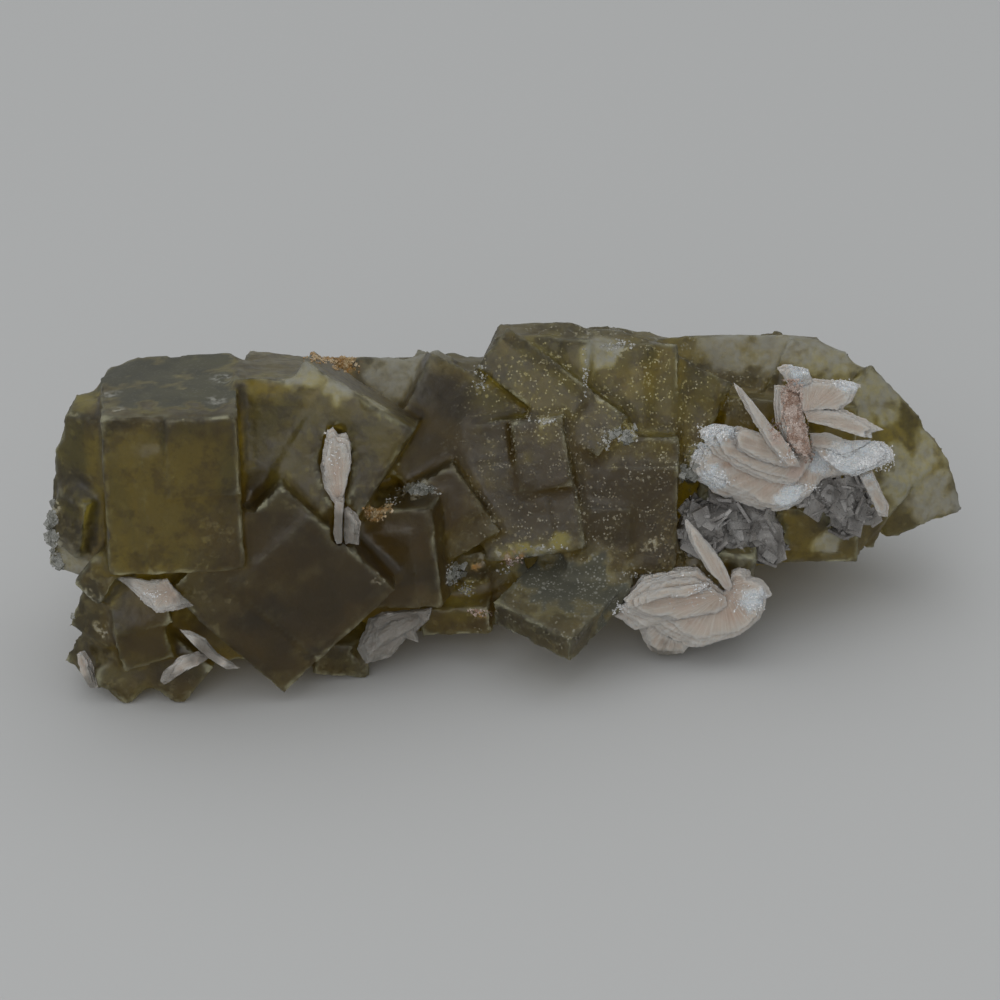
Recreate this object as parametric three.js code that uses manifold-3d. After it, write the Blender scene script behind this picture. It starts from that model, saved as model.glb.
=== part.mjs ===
// A hand-sized mineral specimen: pale pink sprays of bladed barite on a mass of
// intergrown olive-green fluorite cubes.
// Millimetres, +Z up. X runs along the specimen and its display side faces -Y.
// The origin is on the surface it rests on, under the middle of its bounding box.
import * as THREE from "three";
import { ConvexGeometry } from "three/addons/geometries/ConvexGeometry.js";
import { mergeVertices } from "three/addons/utils/BufferGeometryUtils.js";
import Module from "manifold-3d";

const wasm = await Module();
wasm.setup();

// Driving dimensions
const POCKET_GAP = 0.3; // clearance round a barite plate where it stands in the fluorite
const STEP_HEIGHT = 0.35; // height of one growth step on a cube's face
const STEP_SINK = 2; // how far the plate that makes a step reaches into its cube, with its height
const STEP_INSET = 0.12; // distance of a step from the edges that it follows
const STEP_SHARE = 0.68; // share of the face's side that the first step covers
const STEP_SHRINK = 0.22; // how much less of it each further step covers
const STEP_SPREAD = 0.12; // random part of that share
const PLATE_RIM = 0.4; // thickness at the rim of a barite plate
const MIDDLE_SHARE = 0.72; // share of a barite plate's outline that its thick middle covers
const FLOOR_BLOCK = 200; // side of the block that cuts the resting faces flat

const FLUORITE_COLOUR = 0x5a5424;
const BARITE_COLOUR = 0xcdbfb4;
const DRUSE_COLOUR = 0x8b8991;

// A fluorite cube is given by the middle of the face turned to the viewer, its size
// (across, up, deep) and its turns in degrees: yaw to the right, lean back so that the
// face looks up, and clockwise spin in the plane of the face. Steps are the growth
// steps on that face.
const DISPLAY_CUBES = [
  // the left end, with its tall blocks
  { face: [-31.6, -3.8, 24.3], size: [13.5, 17, 16.5], turn: [6, 5, 0], steps: 2 },
  { face: [-27.2, 7.6, 27.6], size: [7.5, 7, 8], turn: [4, 40, 0], steps: 0 },
  { face: [-41, 2, 21], size: [8, 18, 14], turn: [-30, 6, 4], steps: 1 },
  { face: [-43, 1, 18.5], size: [4.5, 7, 6], turn: [-35, 0, 12], steps: 1 },
  { face: [-22.5, 2.5, 25.6], size: [9, 15, 14], turn: [-3, 15, 4], steps: 0 },
  { face: [-17.7, 2, 25.3], size: [13, 15, 8], turn: [-4, 18, 31], steps: 1 },
  { face: [-21.5, -2, 12.6], size: [16.3, 16.3, 15], turn: [4, 4, 46], steps: 1 },
  // small crystals low on the left end
  { face: [-39.7, -3.5, 14.6], size: [3.6, 4.4, 5], turn: [-20, 10, 35], steps: 0 },
  { face: [-35.6, -3, 11.4], size: [6, 5, 7], turn: [10, 20, -8], steps: 0 },
  { face: [-40.2, -2, 9.6], size: [5, 5.5, 7], turn: [-25, 5, 20], steps: 0 },
  { face: [-35.4, -3.6, 7.4], size: [5.4, 5, 7], turn: [12, 5, -12], steps: 0 },
  { face: [-41, -1, 4.4], size: [5, 6, 8], turn: [-30, 0, 28], steps: 0 },
  { face: [-37, -2.4, 3.4], size: [5, 6, 7], turn: [5, 12, 50], steps: 0 },
  { face: [-32.6, -2.4, 3.6], size: [6, 6, 8], turn: [-5, 8, 38], steps: 0 },
  { face: [-15.7, 1.5, 2.4], size: [6, 4, 6], turn: [12, 0, 12], steps: 0 },
  // the dark hollow in the middle
  { face: [-11.5, 3, 13.4], size: [11, 11, 12], turn: [-15, 5, -8], steps: 1 },
  { face: [-4.4, 10.2, 23.7], size: [12, 13, 11], turn: [10, 22, 30], steps: 0 },
  { face: [-6, 6, 16.3], size: [9, 9, 10], turn: [0, 12, 57], steps: 1 },
  { face: [-1.5, 8, 8.6], size: [9, 6, 8], turn: [10, 8, -14], steps: 0 },
  { face: [-4.6, 5, 5], size: [7.5, 3.4, 8], turn: [-8, 0, -7], steps: 0 },
  { face: [-13.5, 16, 26.6], size: [14, 6, 9], turn: [-10, 40, -4], steps: 0 },
  // the speckled middle faces
  { face: [2.5, 8, 18.9], size: [10.5, 14.5, 12], turn: [-8, 18, -11], steps: 2 },
  { face: [5.2, 11.4, 27.9], size: [15.5, 5.4, 10], turn: [-4, 26, 35], steps: 1 },
  { face: [3.7, 13.5, 28.4], size: [10.5, 9, 11], turn: [-4, 26, 3], steps: 1 },
  { face: [12.6, 13.4, 26], size: [11, 12, 12], turn: [4, 28, 3], steps: 1 },
  { face: [15.2, 14, 25.2], size: [13.5, 12, 12], turn: [6, 28, 30], steps: 2 },
  { face: [12.3, 8, 17], size: [11.7, 14, 12], turn: [2, 14, 1], steps: 2 },
  { face: [10.4, 10.2, 23.6], size: [6, 3.6, 6], turn: [-4, 20, -30], steps: 0 },
  { face: [6.7, 4.6, 9.5], size: [9.7, 12.3, 3.4], turn: [0, 75, 36], steps: 0 },
  // the ridge behind them
  { face: [2.8, 16.4, 30.9], size: [8.6, 5.6, 7], turn: [-8, 50, 7], steps: 0 },
  { face: [8.8, 16.6, 31], size: [8, 5, 7], turn: [6, 54, 5], steps: 0 },
  { face: [14, 16.6, 29.4], size: [7, 5, 7], turn: [10, 46, 22], steps: 0 },
  // the right end
  { face: [25, 22, 21.7], size: [18, 14, 13], turn: [6, 30, 2], steps: 1 },
  { face: [32.6, 21.6, 21.4], size: [11, 11, 12], turn: [12, 28, 32], steps: 1 },
  { face: [33.3, 23, 25], size: [7, 6, 9], turn: [10, 40, 12], steps: 0 },
  { face: [38, 18, 17], size: [13, 15, 13], turn: [25, 20, 53], steps: 1 },
  { face: [43.6, 20, 12], size: [9, 8, 7], turn: [15, 10, -14], steps: 0 },
  { face: [32, 13, 10.6], size: [11, 6.6, 12], turn: [5, 0, 3], steps: 1 },
  { face: [29.5, 15, 18.6], size: [14, 12, 12], turn: [4, 20, 6], steps: 0 },
  { face: [20, 7.2, 8.6], size: [12, 6.6, 14], turn: [-4, 8, 3], steps: 0 },
  { face: [37.4, 16, 12.5], size: [8, 8, 8], turn: [20, 5, 30], steps: 0 },
  { face: [24, 12, 12.6], size: [9, 7.6, 8], turn: [-10, 5, 10], steps: 1 },
];

// The far side, which the photograph doesn't show, carries on with the same habit.
const FAR_CUBES = [
  { face: [-33, 21, 18], size: [14, 15, 12], turn: [196, 10, 12], steps: 1 },
  { face: [-38, 15, 9], size: [11, 12, 10], turn: [228, 5, 35], steps: 1 },
  { face: [-20, 27, 15], size: [14, 14, 14], turn: [176, 20, 40], steps: 1 },
  { face: [-24, 25, 8], size: [12, 11, 12], turn: [188, 4, -10], steps: 1 },
  { face: [-9, 31, 12], size: [14, 13, 14], turn: [186, 12, 8], steps: 2 },
  { face: [-6, 28, 20.4], size: [12, 12, 12], turn: [172, 34, 44], steps: 1 },
  { face: [6, 34, 15], size: [13, 14, 12], turn: [182, 14, 28], steps: 1 },
  { face: [9, 30, 24], size: [13, 10, 12], turn: [190, 36, -6], steps: 1 },
  { face: [18, 36, 11], size: [12, 11, 12], turn: [170, 6, 48], steps: 1 },
  { face: [25, 36, 18], size: [13, 12, 12], turn: [184, 24, 14], steps: 1 },
  { face: [34, 34, 13], size: [11, 12, 11], turn: [160, 10, 36], steps: 1 },
  { face: [40, 29, 12], size: [9, 10, 10], turn: [136, 12, 8], steps: 1 },
];

// Underneath, broken lumps stand lower than the core and rest on the surface.
const UNDER_CUBES = [
  { face: [-30, 5, 5], size: [10, 8, 12], turn: [22, -12, 24], steps: 0 },
  { face: [-25, 12, 5.2], size: [10, 8, 11], turn: [-28, 8, -20], steps: 0 },
  { face: [-36, 10, 5.6], size: [8, 7, 10], turn: [-40, -6, 14], steps: 0 },
  { face: [17, 18, 6.4], size: [12, 8, 12], turn: [24, -10, 16], steps: 0 },
  { face: [27, 22, 7.6], size: [10, 9, 12], turn: [-16, 14, -24], steps: 0 },
];

// The core is a few broken blocks that the cubes have grown on, given by middle, size
// and turn about the vertical.
const CORE_BLOCKS = [
  { middle: [-28, 10, 13.5], size: [22, 18, 22], yaw: 14 },
  { middle: [-5, 19.5, 12], size: [30, 15, 26], yaw: 12 },
  { middle: [22, 25, 12.5], size: [28, 16, 17], yaw: 14 },
];

// A barite plate is given by the middle of its front face, its turns as for a cube, its
// thickness, and its outline in its own plane: right and up from that middle.
const UPPER_SPRAY = [
  // the common root, where the plates have grown from
  {
    face: [30, 13, 20.6],
    turn: [0, 24, 0],
    thick: 3,
    outline: [[-4.4, 1.6], [-1, 4], [3.4, 3.4], [4, -2], [0, -3.4], [-4.4, -2.4]],
  },
  // the broad plate at the back and the curved ones stacked on it, lowest first
  {
    face: [26.5, 12.2, 18.1],
    turn: [4, 24, 0],
    thick: 1.4,
    outline: [
      [-8.1, 1.2], [-7.4, 3], [-5.4, 3.7], [1, 3.6], [6.9, 1.6], [6.6, -0.8],
      [3.6, -3.4], [2, -4], [-2.2, -3.2], [-5.6, -1.2],
    ],
  },
  {
    face: [26.1, 11, 18.2],
    turn: [10, 40, 3],
    thick: 1.1,
    outline: [[-6.6, 2], [-2, 2.6], [5, 0.6], [5.2, -1.4], [3.4, -2.4], [0, -2], [-3.6, -0.4]],
  },
  {
    face: [24.8, 10.4, 20.1],
    turn: [12, 46, 2],
    thick: 1,
    outline: [
      [-6.2, 1.7], [-4.6, 2.6], [1.5, 1.6], [5.6, 0],
      [5.4, -2.2], [2.6, -2], [-0.4, -0.9], [-3.8, 0.6],
    ],
  },
  {
    face: [25.1, 10.4, 22.2],
    turn: [12, 50, 0],
    thick: 1,
    outline: [
      [-5.3, 1.4], [-4.2, 2.4], [-2, 2.4], [1.4, 1],
      [4.8, -1.4], [3.4, -2.6], [0, -1.5], [-3.2, -0.3],
    ],
  },
  // the long spike
  {
    face: [26.7, 11.4, 24.2],
    turn: [10, 24, 0],
    thick: 1.1,
    outline: [
      [-3.1, 4.4], [-2.4, 4.2], [-0.7, 2.2], [1.6, -0.7],
      [3.5, -3.4], [2.6, -4.4], [0.8, -2.8], [-1.1, 0],
    ],
  },
  // the granular reddish blade that stands edge-on
  {
    face: [29.8, 11.8, 24],
    turn: [20, 22, 2],
    thick: 2.4,
    outline: [[-1.4, 4.6], [0.7, 4.8], [1.5, 0], [2, -3.8], [0.6, -4.8], [-0.9, -4], [-1.5, 0]],
  },
  // the fan at the top, with a small plate behind it
  {
    face: [32.4, 12.8, 27.3],
    turn: [6, 30, 0],
    thick: 1.2,
    outline: [
      [-4.2, 2.2], [-2, 1.6], [4.1, 0.9], [4.6, 0.3],
      [3.5, -0.8], [2.2, -1.9], [-1, -2.4], [-3.6, -1.8],
    ],
  },
  {
    face: [29.5, 13.2, 29.1],
    turn: [4, 36, 2],
    thick: 0.9,
    outline: [[-1.9, 0.5], [-0.7, 0.8], [1.9, 0.2], [1.8, -1.3], [-0.7, -1.5]],
  },
  // the blades that point to the right
  {
    face: [34.7, 11.2, 24.6],
    turn: [-6, 20, 0],
    thick: 1.1,
    outline: [[-5.4, 0.4], [-1.5, 1.4], [1.6, 0.5], [4.1, -0.8], [3.1, -1.6], [-4.6, -0.6]],
  },
  {
    face: [35.3, 11, 20.8],
    turn: [-8, 40, 0],
    thick: 1.2,
    outline: [
      [-5, 3], [1, 2.2], [3.1, 1.9], [4.5, 0.9],
      [4.4, -0.4], [0.5, -2.1], [-3.8, -3.4], [-5.4, -1],
    ],
  },
  {
    face: [38.3, 10.4, 16.5],
    turn: [8, 6, 0],
    thick: 1,
    outline: [[-2.8, 4.4], [-1.2, 4.2], [1.5, -0.8], [1.5, -2.2], [0.6, -2.5], [-0.7, -0.2]],
  },
];
const LOWER_SPRAY = [
  // the broad plate at the back
  {
    face: [19.2, 4.8, 6.9],
    turn: [0, 22, 0],
    thick: 1.8,
    outline: [
      [-8, 0.4], [-5.2, 3], [-1.1, 4.3], [4.6, 3.9], [7.7, 2.6], [8.5, 1.2],
      [7.8, -0.6], [6, -2.2], [3.4, -3.5], [-4, -3.1], [-6.2, -1.8],
    ],
  },
  // the plates stacked on it
  {
    face: [19.2, 4.4, 6.7],
    turn: [0, 12, 0],
    thick: 1.5,
    outline: [
      [-5.4, -1.6], [0, -1.2], [3.3, -3], [1, -4.4],
      [-1.9, -5.1], [-3.3, -5.1], [-4.6, -3.8],
    ],
  },
  {
    face: [19.4, 3.6, 7],
    turn: [-6, 34, 2],
    thick: 1.2,
    outline: [
      [-4.4, -0.2], [1, 1.4], [5.7, 1.6], [7.2, 0.6],
      [6.2, -1.3], [2.6, -2.8], [-1, -3.2], [-3.7, -2],
    ],
  },
  {
    face: [19.2, 3.3, 7.6],
    turn: [5, 42, 0],
    thick: 1.2,
    outline: [
      [-8.8, 0.1], [-7.2, 1.3], [-3.1, 2.4], [1, 3.4], [2.2, 3],
      [1.6, 2], [0, 0.8], [-5, -1.8], [-6.9, -1.4],
    ],
  },
  {
    face: [25.5, 5, 9],
    turn: [-14, 26, 0],
    thick: 1.4,
    outline: [
      [-1.9, 1.9], [-0.1, 1.8], [1.5, 0.4], [2.4, -0.9],
      [1.4, -1.8], [-1.4, -1.6], [-2.8, 0],
    ],
  },
  // the spike above them
  {
    face: [21, 5.4, 12.5],
    turn: [8, 20, 0],
    thick: 1.7,
    outline: [
      [-2.4, 3.6], [-1.7, 3.8], [0.4, 1.7], [2, -0.9],
      [2.6, -3.8], [1.5, -4.6], [-0.4, -1.6], [-1.6, 1],
    ],
  },
];
const LEFT_SPRAY = [
  {
    face: [-15.9, 1, 25.4],
    turn: [6, 20, 0],
    thick: 1.5,
    outline: [
      [-0.9, 3.6], [1.1, 3.2], [1.5, 0], [1.2, -2.3], [0.7, -4.3],
      [-0.4, -4.5], [-1.6, -2.9], [-1.8, 0], [-1.3, 1.9],
    ],
  },
  {
    face: [-16, -1.8, 19.7],
    turn: [0, 4, 0],
    thick: 3,
    outline: [[-0.4, 3.8], [0.6, 3.8], [0.8, 0.5], [0.5, -2.4], [-0.3, -2.5], [-0.8, -1]],
  },
  {
    face: [-14.7, -1.2, 19.2],
    turn: [-20, 10, 0],
    thick: 1.2,
    outline: [[-0.9, 2.4], [0.2, 1.5], [0.8, 0.3], [0.5, -1.9], [-0.9, -2.1]],
  },
];
const LEFT_BLADE = [
  {
    face: [-33.9, -4.2, 13.3],
    turn: [8, 30, 0],
    thick: 1.2,
    outline: [
      [-4.1, 1.8], [-1.8, 1.4], [1.4, 1.5], [2.6, 0.5], [3.9, -1.1],
      [1.5, -1.7], [0.2, -1.8], [-1.8, -0.4], [-3.8, 0.4],
    ],
  },
];
const LOW_LEFT_SPRAY = [
  {
    face: [-29, -3.9, 6.7],
    turn: [0, 22, 0],
    thick: 1.3,
    outline: [
      [-2.9, 2.2], [-1.7, 2.1], [-0.2, 1], [1.2, -0.7],
      [3.7, -1.8], [1.9, -2.1], [0, -0.8], [-1.7, 0.8],
    ],
  },
  {
    face: [-30.8, -4.2, 4.9],
    turn: [6, 24, 0],
    thick: 1.2,
    outline: [[-3.1, -1], [-2.3, 0], [0, 1.3], [2.4, 1.1], [1.6, 0.3], [0.2, -0.4], [-2.8, -1.5]],
  },
];
const LEFT_FOOT_BLADE = [
  {
    face: [-41.5, -2.8, 3.5],
    turn: [-12, 16, 0],
    thick: 1.2,
    outline: [[-1, 2], [-0.2, 1.8], [0.7, 0], [1.1, -2], [0.4, -1.9], [-0.6, -0.6]],
  },
];
const UNDER_SPRAY = [
  {
    face: [-10.6, 2, 4.9],
    turn: [0, 20, 0],
    thick: 1.6,
    outline: [
      [-2.9, 2.3], [3.9, 2.7], [3.6, 1.5], [2.3, -0.7],
      [0.7, -1.2], [-2.3, -3.1], [-3.2, -3.1], [-4.1, -1.3],
    ],
  },
  {
    face: [-10.3, 1.5, 5],
    turn: [6, 34, 0],
    thick: 1,
    outline: [[-3.4, -0.6], [-0.4, 1], [2.6, 0.9], [2.4, -0.6], [0.4, -1.2], [-2.4, -2.2]],
  },
];

// Grey druse is a heap of thin plates, given by middle, size and turn.
const MIDDLE_DRUSE = [
  { face: [20.3, 8.4, 13], size: [4, 4.6, 5], turn: [-10, 10, 8] },
  { face: [23.8, 10.8, 13.6], size: [5, 5, 5], turn: [14, 20, 30] },
  { face: [25.9, 11, 12], size: [4.6, 5.6, 5], turn: [-8, 14, -18] },
];
const RIGHT_DRUSE = [
  { face: [32.8, 12.2, 15.8], size: [6, 3, 5], turn: [-6, 24, 12] },
  { face: [36, 13.2, 14], size: [4, 4.6, 5], turn: [16, 20, -20] },
];

// Shapes

// A linear congruential generator, so that each build is the same.
function seededRandom(seed) {
  const multiplier = 1664525;
  const increment = 1013904223;
  const modulus = 2 ** 32;
  let state = (seed * increment) % modulus;
  return () => {
    state = (state * multiplier + increment) % modulus;
    return state / modulus;
  };
}

function rotationFor([yaw, lean, spin]) {
  const rad = THREE.MathUtils.degToRad;
  return new THREE.Matrix4()
    .makeRotationZ(rad(yaw))
    .multiply(new THREE.Matrix4().makeRotationX(rad(-lean)))
    .multiply(new THREE.Matrix4().makeRotationY(rad(spin)));
}

function solidFrom(geometry) {
  const bare = geometry.clone();
  bare.deleteAttribute("normal");
  bare.deleteAttribute("uv");
  const merged = mergeVertices(bare, 1e-4);
  return new wasm.Manifold(
    new wasm.Mesh({
      numProp: 3,
      vertProperties: new Float32Array(merged.attributes.position.array),
      triVerts: new Uint32Array(merged.index.array),
    }),
  );
}

function joined(solids) {
  return solids.reduce((whole, next) => whole.add(next));
}

// A hollow that the joined crystals close off is filled.
function withoutSealedHollows(solid) {
  return joined(solid.decompose().filter((body) => body.volume() > 0));
}

// A cube is its main box and, on the face, plates that each cover less of it.
function growthStep(step, across, up, random) {
  const share = STEP_SHARE - STEP_SHRINK * (step - 1);
  const width = across * (share + STEP_SPREAD * random());
  const height = up * (share + STEP_SPREAD * random());
  const side = random() < 0.5 ? -1 : 1;
  const end = random() < 0.5 ? -1 : 1;
  const inset = STEP_INSET * step;
  return new THREE.BoxGeometry(width, STEP_SINK, height).translate(
    side * ((across - width) / 2 - inset),
    STEP_SINK / 2 - STEP_HEIGHT * step,
    end * ((up - height) / 2 - inset),
  );
}

function fluoriteCube({ face, size: [across, up, deep], turn, steps }, index) {
  const random = seededRandom(index + 1);
  const boxes = [new THREE.BoxGeometry(across, deep, up).translate(0, deep / 2, 0)];
  for (let step = 1; step <= steps; step += 1) {
    boxes.push(growthStep(step, across, up, random));
  }
  return joined(
    boxes.map((box) => {
      box.applyMatrix4(rotationFor(turn));
      box.translate(...face);
      return solidFrom(box);
    }),
  );
}

function coreBlock({ middle, size, yaw }) {
  const box = new THREE.BoxGeometry(...size);
  box.applyMatrix4(rotationFor([yaw, 0, 0]));
  box.translate(...middle);
  return solidFrom(box);
}

// A plate is the hull of its thin rim and its thicker middle.
function baritePlate({ face, turn, thick, outline }, grow) {
  const halfRim = Math.min(PLATE_RIM, thick) / 2 + grow;
  const halfMiddle = thick / 2 + grow;
  const points = outline.flatMap(([right, up]) => {
    const outwards = 1 + grow / Math.hypot(right, up);
    return [-1, 1].flatMap((side) => [
      new THREE.Vector3(right * outwards, side * halfRim, up * outwards),
      new THREE.Vector3(right * MIDDLE_SHARE, side * halfMiddle, up * MIDDLE_SHARE),
    ]);
  });
  const hull = new ConvexGeometry(points);
  hull.translate(0, thick / 2, 0);
  hull.applyMatrix4(rotationFor(turn));
  hull.translate(...face);
  return solidFrom(hull);
}

function spray(plates, grow = 0) {
  return joined(plates.map((plate) => baritePlate(plate, grow)));
}

function druse(plates, grow = 0) {
  return joined(
    plates.map(({ face, size: [across, up, deep], turn }) => {
      const box = new THREE.BoxGeometry(
        across + 2 * grow,
        deep + 2 * grow,
        up + 2 * grow,
      ).translate(0, deep / 2, 0);
      box.applyMatrix4(rotationFor(turn));
      box.translate(...face);
      return solidFrom(box);
    }),
  );
}

function meshFrom(solid, name, colour) {
  const { vertProperties, triVerts, numProp } = solid.getMesh();
  const geometry = new THREE.BufferGeometry();
  const count = vertProperties.length / numProp;
  const positions = new Float32Array(count * 3);
  for (let i = 0; i < count; i += 1) {
    positions.set(vertProperties.subarray(i * numProp, i * numProp + 3), i * 3);
  }
  geometry.setAttribute("position", new THREE.BufferAttribute(positions, 3));
  geometry.setIndex(new THREE.BufferAttribute(new Uint32Array(triVerts), 1));
  geometry.computeVertexNormals();
  const material = new THREE.MeshStandardMaterial({
    color: colour,
    roughness: 0.4,
    metalness: 0,
    flatShading: true,
  });
  const mesh = new THREE.Mesh(geometry, material);
  mesh.name = name;
  return mesh;
}

// Assembly

const floorBlock = solidFrom(
  new THREE.BoxGeometry(FLOOR_BLOCK, FLOOR_BLOCK, FLOOR_BLOCK).translate(
    0,
    0,
    -FLOOR_BLOCK / 2,
  ),
);

const SPRAYS = [
  { name: "barite_upper_spray", plates: UPPER_SPRAY },
  { name: "barite_lower_spray", plates: LOWER_SPRAY },
  { name: "barite_left_spray", plates: LEFT_SPRAY },
  { name: "barite_left_blade", plates: LEFT_BLADE },
  { name: "barite_low_left_spray", plates: LOW_LEFT_SPRAY },
  { name: "barite_foot_blade", plates: LEFT_FOOT_BLADE },
  { name: "barite_under_spray", plates: UNDER_SPRAY },
];

let fluorite = joined([
  ...CORE_BLOCKS.map(coreBlock),
  ...[...DISPLAY_CUBES, ...FAR_CUBES, ...UNDER_CUBES].map(fluoriteCube),
]);

const grown = new THREE.Group();
const sprayPockets = joined(SPRAYS.map(({ plates }) => spray(plates, POCKET_GAP)));
SPRAYS.forEach(({ name, plates }) => {
  grown.add(meshFrom(spray(plates), name, BARITE_COLOUR));
});
[
  { name: "grey_druse_middle", plates: MIDDLE_DRUSE },
  { name: "grey_druse_right", plates: RIGHT_DRUSE },
].forEach(({ name, plates }) => {
  grown.add(meshFrom(druse(plates).subtract(sprayPockets), name, DRUSE_COLOUR));
  fluorite = fluorite.subtract(druse(plates, POCKET_GAP));
});

fluorite = withoutSealedHollows(fluorite.subtract(sprayPockets).subtract(floorBlock));
grown.add(meshFrom(fluorite, "fluorite_matrix", FLUORITE_COLOUR));

const box = new THREE.Box3().setFromObject(grown);
const middle = box.getCenter(new THREE.Vector3());
grown.position.set(-middle.x, -middle.y, -box.min.z);

const specimen = new THREE.Group();
specimen.add(grown);

export default specimen;
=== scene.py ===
"""Looks for a hand specimen: bladed barite on intergrown fluorite cubes, built round its CAD frame."""

import math

import bmesh
import bpy
import numpy as np
from mathutils import Euler, Matrix, Vector, noise
from mathutils.bvhtree import BVHTree
from mathutils.geometry import delaunay_2d_cdt


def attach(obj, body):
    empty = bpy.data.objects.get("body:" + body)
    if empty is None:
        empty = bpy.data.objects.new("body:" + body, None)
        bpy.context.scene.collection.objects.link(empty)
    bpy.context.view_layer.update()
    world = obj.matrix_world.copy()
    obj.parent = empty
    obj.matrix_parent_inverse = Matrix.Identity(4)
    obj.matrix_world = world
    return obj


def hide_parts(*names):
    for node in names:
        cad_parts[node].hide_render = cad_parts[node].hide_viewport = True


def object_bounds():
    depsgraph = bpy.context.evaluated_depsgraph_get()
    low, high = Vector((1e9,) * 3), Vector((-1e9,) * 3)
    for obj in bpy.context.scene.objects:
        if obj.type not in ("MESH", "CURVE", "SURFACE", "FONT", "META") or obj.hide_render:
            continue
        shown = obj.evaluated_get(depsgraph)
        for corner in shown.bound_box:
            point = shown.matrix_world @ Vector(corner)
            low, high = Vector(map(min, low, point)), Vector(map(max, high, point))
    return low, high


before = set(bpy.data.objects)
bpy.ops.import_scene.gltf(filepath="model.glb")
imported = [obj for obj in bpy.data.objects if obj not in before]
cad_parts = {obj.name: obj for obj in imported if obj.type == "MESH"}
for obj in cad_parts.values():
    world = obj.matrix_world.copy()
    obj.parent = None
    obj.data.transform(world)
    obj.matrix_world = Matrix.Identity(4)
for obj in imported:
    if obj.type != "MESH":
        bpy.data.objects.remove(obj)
cad_low, cad_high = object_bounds()

MM = 0.001
SEED = 11
FLUORITE_SHARP = 45  # degrees between two faces, from where their edge stays sharp
BARITE_SHARP = 40

# Camera, as the photograph was taken
CAMERA_PLACE = Vector((-0.001712, -0.31166, 0.17858))
CAMERA_TILT = math.radians(62)
CAMERA_LENS = 122.6  # mm, on a 36 mm sensor
SENSOR = 36.0
IMAGE_SIDE = 1000

# Fluorite surface. Depths and reaches are in mm, unless they are multiplied by MM here.
WELD = 0.002 * MM
FLUORITE_VOXEL = 0.415 * MM
FLAT_ANGLE = math.radians(1.0)
ROUNDING_ROUNDS = 5
CONVEXITY_ROUNDS = 16
WEAR_ROUNDS = 84
TERRACES_PER_MM2 = 0.25
TERRACE_DROP = 0.04
TERRACE_LIMIT = 0.2
TERRACE_HALF = (0.4, 3.2)  # least and most of half a terrace's side
SWELL_DEPTH = 0.28
CHIP_DEPTH = 0.45
GRAIN_DEPTH = 0.03
EDGE_CONVEXITY = 0.35  # how far an edge stands out of its surroundings where it counts in full
SNUG_REACH = 0.9
SNUG_GAP = 0.03
PASS_REACH = 2.0

# Grey druse
DRUSE_VOXEL = 0.25 * MM
DRUSE_ROUNDS = 6

# Crystals on it: number to the square millimetre, sizes in mm, flatness and most tilt in radians
DRUSE_CRYSTALS = [(0.5, (1.0, 2.6), 0.13, 0.9), (1.2, (0.2, 0.6), 0.6, 1.6)]

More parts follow.
